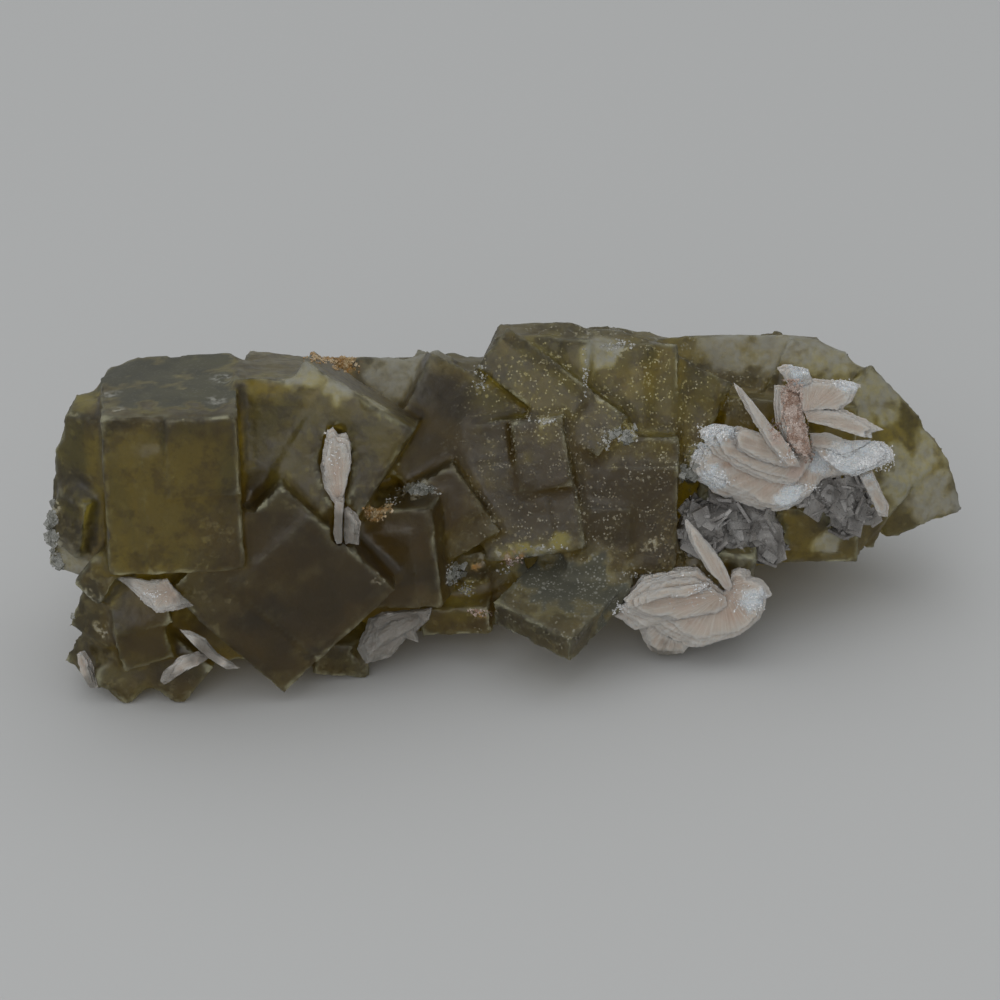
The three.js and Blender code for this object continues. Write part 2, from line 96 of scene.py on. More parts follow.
# Spots: the pixel of the photograph where each lies, and its radius in mm
WORN_CORNERS = [
    ((78, 380), 5), ((100, 362), 4), ((68, 420), 4), ((60, 500), 3), ((500, 330), 4),
    ((612, 325), 4), ((842, 345), 3.5), ((815, 338), 3), ((935, 440), 3), ((262, 360), 3),
    ((60, 640), 3), ((240, 368), 4), ((418, 352), 3.5), ((655, 330), 4), ((480, 356), 3),
]
FLUORITE_SPOTS = {
    "white": [
        ((418, 489), 1.6), ((405, 489), 1.2), ((455, 574), 1.5), ((466, 588), 1.2),
        ((616, 345), 2.0), ((628, 432), 1.6), ((606, 432), 1.2), ((545, 421), 1.2),
        ((222, 378), 1.2), ((218, 398), 1.2), ((108, 392), 1.3), ((118, 408), 1.0),
        ((50, 540), 2.2), ((56, 566), 1.6), ((47, 512), 1.8), ((64, 590), 1.4),
        ((92, 600), 1.4), ((100, 630), 1.2), ((505, 552), 1.2), ((540, 555), 1.4),
        ((482, 560), 1.0), ((650, 545), 1.2), ((690, 470), 1.2), ((600, 395), 1.0),
        ((380, 580), 1.0), ((395, 470), 1.0), ((345, 440), 0.8),
    ],
    "orange": [
        ((330, 358), 2.6), ((345, 366), 2.0), ((374, 514), 1.1), ((384, 508), 0.9),
        ((512, 560), 1.2), ((476, 565), 0.9), ((790, 440), 1.4), ((480, 612), 0.9),
    ],
    "frost": [
        ((405, 362), 4.2), ((430, 350), 3.4), ((380, 375), 3.0), ((300, 372), 2.4),
        ((340, 385), 2.2), ((380, 405), 2.0), ((600, 345), 3.0), ((930, 495), 4.0),
        ((952, 505), 3.0), ((780, 343), 4.5), ((730, 345), 3.5), ((835, 350), 4.5),
        ((880, 390), 4.0), ((830, 545), 2.2), ((900, 475), 4.0), ((925, 455), 3.0),
        ((72, 560), 3.0), ((862, 420), 2.0), ((845, 500), 2.0),
    ],
    "slate": [
        ((150, 372), 6.5), ((200, 362), 5.5), ((120, 372), 4.5), ((215, 395), 4.0),
        ((130, 395), 4.0), ((170, 395), 4.5), ((205, 385), 4.5),
        ((560, 585), 5.5), ((595, 590), 5.0), ((530, 570), 4.0),
    ],
    # The dark spots: the deep brown of thick crystal, and painted shadow under the slabs and between
    # the cubes
    "dark": [
        ((330, 600), 8), ((280, 560), 7), ((395, 560), 7), ((440, 440), 6), ((410, 620), 6),
        ((425, 500), 6), ((520, 430), 5), ((540, 500), 7), ((620, 500), 7), ((480, 600), 5),
        ((160, 640), 6), ((260, 640), 6), ((495, 428), 2.4), ((520, 432), 2.2), ((545, 432), 1.8),
        ((200, 430), 5), ((215, 480), 5), ((250, 500), 4), ((430, 425), 5), ((450, 400), 4),
    ],
    # Painted light: a yellow glow painted where light shines through thin crystal
    "painted_glow": [
        ((150, 500), 8), ((180, 470), 7), ((120, 470), 5), ((290, 400), 6), ((260, 440), 5),
        ((380, 430), 5), ((650, 400), 7), ((600, 380), 6), ((700, 380), 6), ((540, 380), 6),
        ((850, 400), 8), ((900, 440), 8), ((780, 545), 6), ((150, 545), 6),
        ((480, 388), 2.0), ((500, 402), 1.8), ((522, 415), 1.6), ((545, 430), 1.6),
        ((505, 552), 1.3), ((522, 549), 1.3), ((540, 546), 1.3), ((558, 542), 1.3),
        ((115, 555), 4), ((150, 560), 4), ((460, 600), 3), ((285, 420), 5), ((320, 410), 4),
        ((270, 460), 3), ((80, 450), 4), ((75, 500), 3), ((85, 400), 3),
    ],
}

BARITE_SPOTS = {
    # Painted highlight: near-white glitter painted where the plates shine
    "painted_glint": [
        ((712, 432), 1.6), ((728, 430), 1.2), ((700, 447), 1.4), ((712, 480), 1.8),
        ((868, 462), 3.0), ((845, 462), 2.4), ((884, 452), 1.6), ((820, 462), 1.6),
        ((790, 500), 2.0), ((755, 600), 1.6), ((800, 370), 1.6), ((848, 384), 1.4),
    ],
    "reddish": [
        ((792, 395), 1.4), ((794, 415), 1.5), ((800, 435), 1.5), ((805, 452), 1.2),
        ((776, 440), 1.0), ((795, 470), 1.2),
    ],
    # Painted shade: dull brown on the spray under the specimen and at the blade bases
    "painted_shade": [
        ((380, 640), 5.0), ((410, 618), 4.0), ((365, 655), 4.0), ((338, 530), 2.4),
        ((350, 540), 2.0), ((120, 580), 1.8), ((188, 602), 1.6), ((205, 655), 2.2),
        ((170, 680), 2.0), ((232, 668), 1.2), ((90, 680), 1.6), ((660, 655), 2.2),
        ((322, 470), 1.2), ((800, 374), 1.4),
    ],
}

# Leaves of the barite plates, in mm, and the share by which the front leaf is smaller
DEPTH_SHIFT = 16.71  # from the camera model's depth to the row frame's Y
LEAF = 0.24
LEAF_OVERLAP = 0.03
OUTLINE_STEP = 0.24
GRID_STEP = 0.32
GRID_JITTER = 0.12
LEAF_SHRINK = 0.15
RAGGED_DEPTH = 0.26
RELIEF_DEPTH = 0.08
THIN_RIM = 0.25
NEAR_RIM = 1.6

# Barite plates. Each has its outline in pixels of the photograph, the depth of its middle in
# mm in the frame of the camera model, its turns (yaw, lean) in degrees, its thickness in
# mm and its curl. The root is the pixel that its leaves shrink towards.
BARITE_PLATES = {
    "barite_upper_spray": [
        {   # the broad shell, then the two smaller ones stacked on it
            "outline": [(681, 464), (686, 449), (697, 441), (708, 446), (756, 439), (804, 446),
                        (829, 452), (848, 476), (827, 482), (812, 498), (792, 511), (778, 514),
                        (759, 511), (732, 502), (713, 494), (706, 486), (687, 476)],
            "root": (812, 452), "depth": 11.7, "turn": (4, 20), "thick": 1.5, "curl": 0.006,
        },
        {
            "outline": [(697, 430), (713, 422), (730, 425), (772, 439), (803, 449), (813, 462),
                        (804, 478), (796, 486), (772, 484), (749, 476), (729, 465), (713, 454),
                        (705, 444)],
            "root": (806, 452), "depth": 11.6, "turn": (6, 24), "thick": 0.9, "curl": 0.01,
        },
        {
            "outline": [(727, 430), (736, 425), (756, 430), (780, 439), (797, 452), (803, 465),
                        (788, 469), (768, 465), (746, 457), (730, 446)],
            "root": (798, 455), "depth": 11.4, "turn": (8, 28), "thick": 0.8, "curl": 0.014,
        },
        {   # the long spike
            "outline": [(735, 382), (743, 388), (762, 411), (781, 433), (794, 452), (802, 468),
                        (788, 467), (770, 446), (754, 422), (743, 401), (736, 387)],
            "root": (800, 468), "depth": 11.2, "turn": (10, 24), "thick": 0.9, "curl": 0.0,
        },
        {   # the granular blade that stands edge-on
            "outline": [(781, 385), (802, 384), (804, 403), (808, 422), (813, 446), (808, 458),
                        (796, 452), (788, 439), (782, 423), (780, 404)],
            "root": (806, 455), "depth": 11.6, "turn": (20, 22), "thick": 2.0, "curl": 0.0,
        },
        {   # the fan at the top, with a small plate behind it
            "outline": [(797, 382), (813, 377), (848, 379), (863, 384), (859, 391), (855, 401),
                        (843, 410), (819, 409), (802, 411), (799, 396)],
            "root": (806, 415), "depth": 12.6, "turn": (6, 30), "thick": 1.0, "curl": 0.008,
        },
        {
            "outline": [(776, 368), (788, 365), (811, 370), (816, 384), (806, 394), (792, 394),
                        (783, 378)],
            "root": (800, 394), "depth": 12.9, "turn": (4, 12), "thick": 0.9, "curl": 0.0,
        },
        {   # the blades that point to the right
            "outline": [(802, 409), (819, 407), (843, 409), (867, 420), (885, 431), (874, 434),
                        (873, 440), (856, 436), (832, 428), (808, 422)],
            "root": (800, 420), "depth": 11.2, "turn": (-6, 20), "thick": 1.1, "curl": 0.0,
        },
        {
            "outline": [(808, 430), (830, 429), (857, 439), (882, 438), (873, 447), (848, 457),
                        (829, 449), (811, 446)],
            "root": (810, 446), "depth": 11.9, "turn": (-8, 52), "thick": 0.9, "curl": 0.0,
        },
        {
            "outline": [(811, 446), (829, 448), (848, 456), (872, 446), (883, 440), (894, 449),
                        (895, 460), (880, 468), (853, 478), (843, 475), (823, 460)],
            "root": (815, 450), "depth": 11.0, "turn": (-8, 28), "thick": 1.2, "curl": 0.006,
        },
        {
            "outline": [(860, 477), (874, 472), (883, 490), (892, 509), (890, 521), (881, 520),
                        (872, 503)],
            "root": (862, 474), "depth": 10.9, "turn": (8, 8), "thick": 0.9, "curl": 0.0,
        },
    ],
    "barite_lower_spray": [
        {   # the plate underneath, the broad shell, and the smaller ones stacked on it
            "outline": [(638, 630), (643, 643), (646, 650), (654, 657), (659, 660), (672, 659),
                        (684, 657), (691, 650), (679, 645), (666, 639), (651, 629)],
            "root": (680, 610), "depth": 4.9, "turn": (0, 12), "thick": 1.2, "curl": 0.0,
        },
        {
            "outline": [(607, 608), (612, 604), (619, 603), (623, 595), (632, 588), (641, 576),
                        (656, 572), (679, 568), (697, 567), (712, 581), (725, 592), (733, 587),
                        (734, 571), (742, 568), (751, 571), (753, 578), (761, 580), (769, 585),
                        (775, 597), (769, 601), (767, 612), (761, 622), (752, 631), (737, 640),
                        (718, 645), (702, 650), (691, 650), (679, 645), (666, 639), (651, 629),
                        (633, 632), (621, 622), (609, 615)],
            "root": (722, 588), "depth": 5.0, "turn": (0, 20), "thick": 1.5, "curl": 0.005,
        },
        {
            "outline": [(622, 599), (641, 581), (667, 574), (692, 574), (712, 587), (728, 598),
                        (730, 608), (718, 616), (702, 618), (689, 621), (672, 624), (659, 618),
                        (645, 618), (632, 612), (624, 607)],
            "root": (722, 594), "depth": 4.5, "turn": (2, 24), "thick": 0.9, "curl": 0.008,
        },
        {
            "outline": [(635, 607), (644, 603), (661, 598), (672, 599), (687, 598), (700, 593),
                        (711, 584), (709, 581), (700, 583), (679, 586), (661, 587), (644, 592),
                        (632, 599)],
            "root": (706, 585), "depth": 4.1, "turn": (5, 30), "thick": 0.7, "curl": 0.008,
        },
        {   # the spike above them
            "outline": [(686, 521), (688, 519), (696, 527), (705, 538), (715, 548), (724, 561),
                        (729, 571), (734, 587), (730, 592), (725, 590), (719, 581), (710, 574),
                        (701, 561), (692, 544), (687, 530)],
            "root": (730, 592), "depth": 5.6, "turn": (8, 20), "thick": 1.1, "curl": 0.0,
        },
    ],
    "barite_left_spray": [
        {
            "outline": [(327, 428), (333, 426), (338, 433), (347, 432), (352, 443), (353, 462),
                        (348, 485), (342, 504), (334, 505), (325, 492), (320, 471), (321, 452),
                        (326, 438)],
            "root": (340, 500), "depth": 1.0, "turn": (6, 20), "thick": 1.3, "curl": 0.01,
        },
        {
            "outline": [(334, 500), (344, 502), (343, 532), (342, 549), (336, 550), (332, 539),
                        (333, 520)],
            "root": (340, 505), "depth": -1.7, "turn": (0, 4), "thick": 2.2, "curl": 0.0,
        },
        {
            "outline": [(343, 508), (353, 515), (358, 525), (355, 549), (344, 548), (342, 527)],
            "root": (343, 510), "depth": -1.1, "turn": (-20, 10), "thick": 1.1, "curl": 0.0,
        },
    ],
    "barite_left_blade": [
        {
            "outline": [(112, 575), (130, 576), (147, 579), (168, 577), (177, 589), (195, 606),
                        (179, 611), (157, 614), (144, 604), (130, 589)],
            "root": (170, 590), "depth": -4.2, "turn": (8, 30), "thick": 1.1, "curl": 0.01,
        },
    ],
    "barite_low_left_spray": [
        {
            "outline": [(178, 630), (189, 631), (204, 638), (219, 656), (241, 670), (227, 671),
                        (209, 661), (192, 646)],
            "root": (205, 650), "depth": -3.9, "turn": (0, 22), "thick": 1.1, "curl": 0.01,
        },
        {
            "outline": [(159, 683), (162, 673), (179, 656), (199, 651), (214, 656), (199, 666),
                        (179, 676), (164, 686)],
            "root": (205, 657), "depth": -4.2, "turn": (6, 24), "thick": 1.0, "curl": 0.01,
        },
    ],
    "barite_foot_blade": [
        {
            "outline": [(75, 652), (81, 651), (90, 663), (96, 690), (89, 692), (77, 671)],
            "root": (82, 662), "depth": -2.8, "turn": (-12, 16), "thick": 1.0, "curl": 0.0,
        },
    ],
    "barite_under_spray": [
        {
            "outline": [(367, 620), (381, 613), (433, 609), (431, 620), (417, 634), (419, 645),
                        (407, 641), (391, 660), (365, 667), (355, 652), (362, 634)],
            "root": (410, 612), "depth": 2.0, "turn": (0, 20), "thick": 1.4, "curl": 0.0,
        },
        {
            "outline": [(372, 636), (386, 622), (420, 614), (424, 622), (408, 634), (388, 644),
                        (372, 652)],
            "root": (415, 616), "depth": 1.6, "turn": (6, 30), "thick": 0.8, "curl": 0.0,
        },
    ],
}

GRAIN_TILT = 1.2  # radians, the most that a scattered crystal leans from its surface

# Small crystals scattered where the photograph shows them. Sizes are in mm. Each spot has the
# pixel of its middle, its reach in pixels across and up, and the number of crystals.
GRAINS = {
    # Real small crystals, with a near-white colour that paints their glitter
    "silver_grains": {
        "size": (0.10, 0.24), "flatness": 0.3,
        "spots": [
            ((712, 432), (14, 8), 130), ((700, 455), (10, 12), 90), ((720, 478), (14, 8), 70),
            ((868, 462), (26, 9), 330), ((832, 458), (16, 8), 120), ((880, 452), (12, 10), 160),
            ((808, 488), (14, 6), 60), ((790, 458), (10, 6), 40), ((752, 600), (18, 16), 120),
            ((620, 608), (10, 8), 40), ((702, 588), (10, 4), 50), ((335, 455), (10, 22), 30),
            ((150, 595), (16, 8), 40), ((700, 590), (30, 20), 60), ((840, 385), (20, 6), 40),
        ],
    },
    "reddish_grains": {
        "size": (0.12, 0.30), "flatness": 0.7,
        "spots": [
            ((792, 402), (10, 22), 620), ((798, 434), (10, 18), 480), ((806, 452), (8, 10), 120),
            ((776, 428), (8, 10), 50), ((512, 562), (10, 4), 40), ((482, 612), (14, 4), 30),
        ],
    },
    "orange_grains": {
        "size": (0.15, 0.36), "flatness": 0.8,
        "spots": [
            ((328, 356), (24, 7), 260), ((345, 364), (14, 8), 120), ((374, 514), (11, 6), 60),
            ((388, 508), (6, 5), 24),
        ],
    },
    "white_grains": {
        "size": (0.10, 0.28), "flatness": 0.8,
        "spots": [
            ((418, 489), (22, 5), 90), ((392, 500), (8, 6), 24), ((455, 574), (9, 12), 60),
            ((466, 590), (8, 8), 40), ((616, 345), (18, 6), 60), ((628, 434), (9, 7), 60),
            ((606, 440), (8, 10), 40), ((545, 421), (16, 3), 30), ((50, 540), (8, 24), 60),
            ((56, 568), (8, 18), 40), ((64, 592), (6, 12), 20), ((545, 548), (22, 3), 24),
            ((505, 570), (8, 5), 16), ((690, 470), (5, 10), 24), ((480, 380), (8, 14), 40),
            ((585, 375), (4, 26), 36), ((640, 575), (20, 3), 16),
        ],
    },
    "pale_lumps": {
        "size": (0.4, 1.1), "flatness": 0.7,
        "spots": [
            ((50, 525), (7, 26), 60), ((56, 570), (6, 18), 36), ((68, 606), (6, 12), 18),
            ((418, 489), (18, 4), 14), ((455, 576), (8, 10), 14), ((624, 434), (12, 7), 16),
            ((690, 470), (8, 10), 12),
        ],
    },
}


# Meshes

def new_object(name, mesh):
    made = bpy.data.objects.new(name, mesh)
    bpy.context.scene.collection.objects.link(made)
    return made


def smooth(mesh, sharp_angle):
    mesh.shade_smooth()
    mesh.set_sharp_from_angle(angle=math.radians(sharp_angle))


def points_of(mesh):
    found = np.empty(len(mesh.vertices) * 3)
    mesh.vertices.foreach_get("co", found)
    return found.reshape(-1, 3)


def normals_of(mesh):
    found = np.empty(len(mesh.vertices) * 3)
    mesh.vertex_normals.foreach_get("vector", found)
    return found.reshape(-1, 3)


def store(mesh, name, values):
    """Keeps one number for each vertex, which the materials read."""
    attribute = mesh.attributes.new(name, "FLOAT", "POINT")
    attribute.data.foreach_set("value", np.asarray(values, np.float32))


def welded(node):
    made = bmesh.new()
    made.from_mesh(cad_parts[node].data)
    bmesh.ops.remove_doubles(made, verts=made.verts, dist=WELD)
    made.normal_update()
    made.faces.ensure_lookup_table()
    return made


def remeshed(source, voxel):
    mesh = bpy.data.meshes.new("source")
    source.to_mesh(mesh)
    holder = new_object("holder", mesh)
    voxels = holder.modifiers.new("voxels", "REMESH")
    voxels.mode = "VOXEL"
    voxels.voxel_size = voxel
    graph = bpy.context.evaluated_depsgraph_get()
    made = bpy.data.meshes.new_from_object(holder.evaluated_get(graph))
    bpy.data.objects.remove(holder)
    return made


def noise_at(points, scale, offset):
    """Smooth noise from about -1 to 1 at each point; scale is in waves per millimetre."""
    shift = Vector((offset, -offset, 2 * offset))
    return np.array([noise.noise(Vector(p) * (scale / MM) + shift) for p in points])


# Fluorite

def flat_faces(source):
    """The number of the flat face that each triangle belongs to, and each flat face's axes."""
    group = [-1] * len(source.faces)
    axes = []
    for start in source.faces:
        if group[start.index] >= 0:
            continue
        number = len(axes)
        group[start.index] = number
        waiting = [start]
        rim = []
        area = 0.0
        while waiting:
            face = waiting.pop()
            area += face.calc_area()
            for edge in face.edges:
                if not edge.is_manifold:
                    continue
                other = next(f for f in edge.link_faces if f is not face)
                if edge.calc_face_angle(0) > FLAT_ANGLE:
                    rim.append(edge)
                elif group[other.index] < 0:
                    group[other.index] = number
                    waiting.append(other)
        normal = start.normal.copy()
        longest = max(rim, key=lambda e: e.calc_length(), default=None)
        along = normal.orthogonal()
        if longest is not None:
            along = longest.verts[1].co - longest.verts[0].co
        along = (along - normal * along.dot(normal)).normalized()
        axes.append((start.verts[0].co.copy(), along, normal.cross(along), normal, area))
    return group, axes


def terrace_depth(flat, area, random):
    """How far below its face each point lies: a growth face is a mosaic of rectangular plates."""
    low, high = flat.min(0), flat.max(0)
    count = int(area / MM**2 * TERRACES_PER_MM2)
    depth = np.zeros(len(flat))
    for _ in range(count):
        middle = low + (high - low) * random.random(2)
        half = np.exp(random.uniform(*np.log(TERRACE_HALF), 2)) * MM
        inside = (np.abs(flat - middle) < half).all(1)
        depth[inside] += TERRACE_DROP * random.uniform(-0.5, 1.0)
    return np.clip(depth, 0, TERRACE_LIMIT) * MM


def relaxed(points, edges, rounds):
    """Draws each point towards the mean of its neighbours, which rounds the edges off."""
    ends = np.concatenate((edges[:, 0], edges[:, 1]))
    others = np.concatenate((edges[:, 1], edges[:, 0]))
    count = len(points)
    valence = np.maximum(np.bincount(ends, minlength=count), 1)
    for _ in range(rounds):
        total = [np.bincount(ends, points[others, axis], count) for axis in range(3)]
        points = 0.5 * points + 0.5 * np.array(total).T / valence[:, None]
    return points


def edges_of(mesh):
    found = np.empty(len(mesh.edges) * 2, np.int32)
    mesh.edges.foreach_get("vertices", found)
    return found.reshape(-1, 2)


def near(points, centre, radius, wobble):
    """1 at the centre of a spot, falling to 0 at its radius, with a ragged limit."""
    away = np.linalg.norm(points - np.array(centre), axis=1) / (radius * MM)
    return np.clip((1 - away + 0.5 * wobble) * 2.2, 0, 1)


def sight_of(pixel):
    """The direction in which the camera sees a pixel of the photograph."""
    column, row = pixel
    focal = CAMERA_LENS / SENSOR * IMAGE_SIDE
    sight = Vector((column - IMAGE_SIDE / 2, IMAGE_SIDE / 2 - row, -focal)).normalized()
    sight.rotate(Euler((CAMERA_TILT, 0, 0)))
    return sight


def seen_point(surface, pixel):
    """Where the line of sight through a pixel meets the surface or passes close to it."""
    sight = sight_of(pixel)
    met = surface.ray_cast(CAMERA_PLACE, sight)[0]
    if met:
        return met
    nearest = surface.find_nearest(CAMERA_PLACE + sight * CAMERA_PLACE.length)[0]
    arm = nearest - CAMERA_PLACE
    passes_by = (arm - sight * arm.dot(sight)).length
    return nearest if passes_by < PASS_REACH * MM else None


def spot_amount(points, surface, spots, wobble):
    """How strongly each point lies within the spots, from 0 to 1."""
    amount = np.zeros(len(points))
    for pixel, radius in spots:
        place = seen_point(surface, pixel)
        if place is not None:
            amount = np.maximum(amount, near(points, place, radius, wobble))
    return amount


def snug(points, neighbours):
    """Draws the walls of the pockets up to the barite and druse that stand in them."""
    found = points.copy()
    for number, point in enumerate(points):
        place, _, _, gap = neighbours.find_nearest(Vector(point), SNUG_REACH * MM)
        if place is None or gap < SNUG_GAP * MM:
            continue
        share = min(1.0, (SNUG_REACH * MM - gap) / (0.5 * SNUG_REACH * MM))
        found[number] += (np.array(place) - point) * share * (1 - SNUG_GAP * MM / gap)
    return found


def fluorite_piece(node, neighbours):
    random = np.random.default_rng(SEED)
    source = welded(node)
    surface = BVHTree.FromBMesh(source)
    group, axes = flat_faces(source)
    mesh = remeshed(source, FLUORITE_VOXEL)
    hits = [surface.find_nearest(Vector(p)) for p in points_of(mesh)]
    points = np.array([hit[0] for hit in hits])
    number = np.array([group[hit[2]] for hit in hits])
    edges = edges_of(mesh)
    mesh.vertices.foreach_set("co", points.ravel())
    mesh.update()
    outwards = normals_of(mesh)
    convexity = ((points - relaxed(points, edges, CONVEXITY_ROUNDS)) * outwards).sum(1) / MM
    rounded = relaxed(points, edges, ROUNDING_ROUNDS)
    wobble = noise_at(points, 0.45, 12) + 0.5 * noise_at(points, 1.3, 4)
    worn = relaxed(points, edges, WEAR_ROUNDS)
    rounded += (worn - rounded) * spot_amount(points, surface, WORN_CORNERS, 0)[:, None]
    tone = np.zeros(len(points))
    depth = np.zeros(len(points))
    for face, (origin, along, across, normal, area) in enumerate(axes):
        members = np.nonzero(number == face)[0]
        if len(members) < 4:
            continue
        flat = (points[members] - origin) @ np.array((along, across)).T
        depth[members] = terrace_depth(flat, area, random)
        tone[members] = random.random()
    depth = relaxed(depth[:, None].repeat(3, 1), edges, 1)[:, 0]
    edge = np.clip(convexity / EDGE_CONVEXITY, 0, 1)
    chip = np.clip(noise_at(points, 0.45, 3) + 0.7 * noise_at(points, 1.4, 8) - 0.05, 0, 1)
    swell = SWELL_DEPTH * (0.5 + noise_at(points, 0.16, 9))
    grain = GRAIN_DEPTH * noise_at(points, 2.6, 5)
    inwards = chip * edge * CHIP_DEPTH + swell * (1 - edge) + grain
    rounded -= outwards * (inwards * MM + depth)[:, None]
    rounded = snug(rounded, neighbours)
    rounded = np.clip(rounded, cad_low, cad_high)
    mesh.vertices.foreach_set("co", rounded.ravel())
    mesh.update()
    store(mesh, "edge", edge)
    store(mesh, "tone", tone)
    for kind, spots in FLUORITE_SPOTS.items():
        store(mesh, kind, spot_amount(points, surface, spots, wobble))
    smooth(mesh, FLUORITE_SHARP)
    source.free()
    return new_object("fluorite_cubes", mesh)


# Barite

def turn_matrix(turn):
    yaw, lean = (math.radians(angle) for angle in turn)
    return Matrix.Rotation(yaw, 3, "Z") @ Matrix.Rotation(-lean, 3, "X")


def ragged(outline, random, depth):
    """The outline in small steps, with splinters and notches that only reach inwards."""
    found = []
    middle = np.mean(outline, axis=0)
    phase = random.uniform(0, 100)
    walked = 0.0
    for number, start in enumerate(outline):
        start = np.array(start)
        end = np.array(outline[(number + 1) % len(outline)])
        length = np.linalg.norm(end - start)
        steps = max(1, round(length / OUTLINE_STEP))
        for step in range(steps):
            point = start + (end - start) * step / steps
            place = Vector(((walked + length * step / steps) * 0.7, phase, 0))
            notch = abs(noise.noise(place)) + 0.7 * abs(noise.noise(place * 3.7))
            inwards = middle - point
            inwards /= max(np.linalg.norm(inwards), 1e-6)
            found.append(point + inwards * depth * (notch + 0.35 * random.random()))
        walked += length
    return np.array(found)


def inside(points, outline):
    """Which points lie within the outline."""
    found = np.zeros(len(points), bool)
    ahead = np.roll(outline, -1, axis=0)
    for (x0, y0), (x1, y1) in zip(outline, ahead):
        crosses = (y0 > points[:, 1]) != (y1 > points[:, 1])
        with np.errstate(divide="ignore", invalid="ignore"):
            reach = x0 + (points[:, 1] - y0) * (x1 - x0) / (y1 - y0)
        found ^= crosses & (points[:, 0] < reach)
    return found


def rim_distance(points, outline):
    return np.min(np.linalg.norm(points[:, None] - outline[None], axis=2), axis=1)


def lamella(outline, front, back, bend, root, axis, random):
    """One thin leaf of a plate, its grain drawn out along the rays from the root.

    Gives its points and faces, and for each point how close it is to the rim, how far it is
    from the root, and the turn of its ray from the axis.
    """
    low, high = outline.min(0), outline.max(0)
    grid = np.stack(
        np.meshgrid(np.arange(low[0], high[0], GRID_STEP), np.arange(low[1], high[1], GRID_STEP)),
        axis=-1,
    ).reshape(-1, 2)
    grid = grid + random.uniform(-GRID_JITTER, GRID_JITTER, grid.shape)
    grid = grid[inside(grid, outline)]
    if len(grid):
        grid = grid[rim_distance(grid, outline) > OUTLINE_STEP * 0.6]
    flat = [Vector(p) for p in outline] + [Vector(p) for p in grid]
    count = len(outline)
    rim_edges = [(i, (i + 1) % count) for i in range(count)]
    flat, _, triangles, *_ = delaunay_2d_cdt(flat, rim_edges, [], 1, 1e-5)
    flat = np.array(flat)
    from_root = np.linalg.norm(flat - root, axis=1)
    curve = bend * from_root**2
    arms = flat - root
    sweep = np.arctan2(axis[0] * arms[:, 1] - axis[1] * arms[:, 0], arms @ axis)
    relief = np.array([
        noise.noise(Vector((x * 0.8, y * 0.8, front * 7)))
        + 0.5 * noise.noise(Vector((x * 2.3, y * 2.3, front * 5)))
        + noise.noise(Vector((turn * 7, reach * 0.3, front * 3)))
        for (x, y), turn, reach in zip(flat, sweep, from_root)
    ])
    to_rim = rim_distance(flat, outline)
    thin = 0.35 * (back - front) * np.clip(1 - to_rim / THIN_RIM, 0, 1)
    front_depth = front + thin + curve + RELIEF_DEPTH * relief
    front_side = np.column_stack((flat[:, 0], front_depth, flat[:, 1]))
    back_side = np.column_stack((flat[:, 0], back - thin + curve, flat[:, 1]))
    shift = len(flat)
    sides = [side for a, b, c in triangles for side in ((a, b), (b, c), (c, a))]
    known = set(sides)
    rim = [(a, b) for a, b in sides if (b, a) not in known]
    faces = [tuple(t) for t in triangles]
    faces += [tuple(v + shift for v in reversed(t)) for t in triangles]
    faces += [(b, a, a + shift, b + shift) for a, b in rim]
    near_rim = np.clip(1 - to_rim / NEAR_RIM, 0, 1)
    doubled = [np.tile(values, 2) for values in (near_rim, from_root, sweep)]
    return np.vstack((front_side, back_side)), faces, *doubled


class Plane:
    """The plane of a barite plate, in which its outline is measured in mm."""

    def __init__(self, plate):
        self.axes = turn_matrix(plate["turn"])
        sight = sight_of(np.mean(plate["outline"], axis=0))
        depth = (plate["depth"] - DEPTH_SHIFT) * MM
        self.place = CAMERA_PLACE + sight * ((depth - CAMERA_PLACE.y) / sight.y)

    def flat(self, pixel):
        """Right and up, in mm, of the point of the plane that a pixel shows."""
        normal = self.axes.col[1]
        sight = sight_of(pixel)
        reach = (self.place - CAMERA_PLACE).dot(normal) / sight.dot(normal)
        local = self.axes.transposed() @ (CAMERA_PLACE + sight * reach - self.place)
        return np.array((local.x, local.z)) / MM

    def solid(self, point):
        return self.axes @ (Vector(point) * MM) + self.place


def uneven(arms, random):
    """How far each outline point of a leaf is drawn in, from about 0.3 to 1.7, slowly varying."""
    phase = random.uniform(0, 100)
    turns = np.arctan2(arms[:, 1], arms[:, 0])
    return np.array([1 + 1.1 * noise.noise(Vector((turn * 1.6, phase, 0))) for turn in turns])


def plate_leaves(plate, random):
    """The leaves of one plate, from front to back, in the row frame in metres."""
    plane = Plane(plate)
    outline = np.array([plane.flat(pixel) for pixel in plate["outline"]])
    root = plane.flat(plate["root"])
    spread = np.linalg.norm(outline - root, axis=1).max()
    count = max(3, round(plate["thick"] / LEAF))
    for number in range(count):
        front = plate["thick"] * number / count
        back = plate["thick"] * (number + 1) / count + LEAF_OVERLAP
        share = 1 - LEAF_SHRINK * (1 - number / (count - 1)) * uneven(outline - root, random)
        leaf = ragged(root + (outline - root) * share[:, None], random, RAGGED_DEPTH)
        curl = -plate["curl"] * (1 + 0.5 * (1 - number / count))
        axis = outline.mean(0) - root
        points, faces, rim, from_root, sweep = lamella(leaf, front, back, curl, root, axis, random)
        placed = [plane.solid(point) for point in points]
        yield placed, faces, rim, from_root / spread, sweep


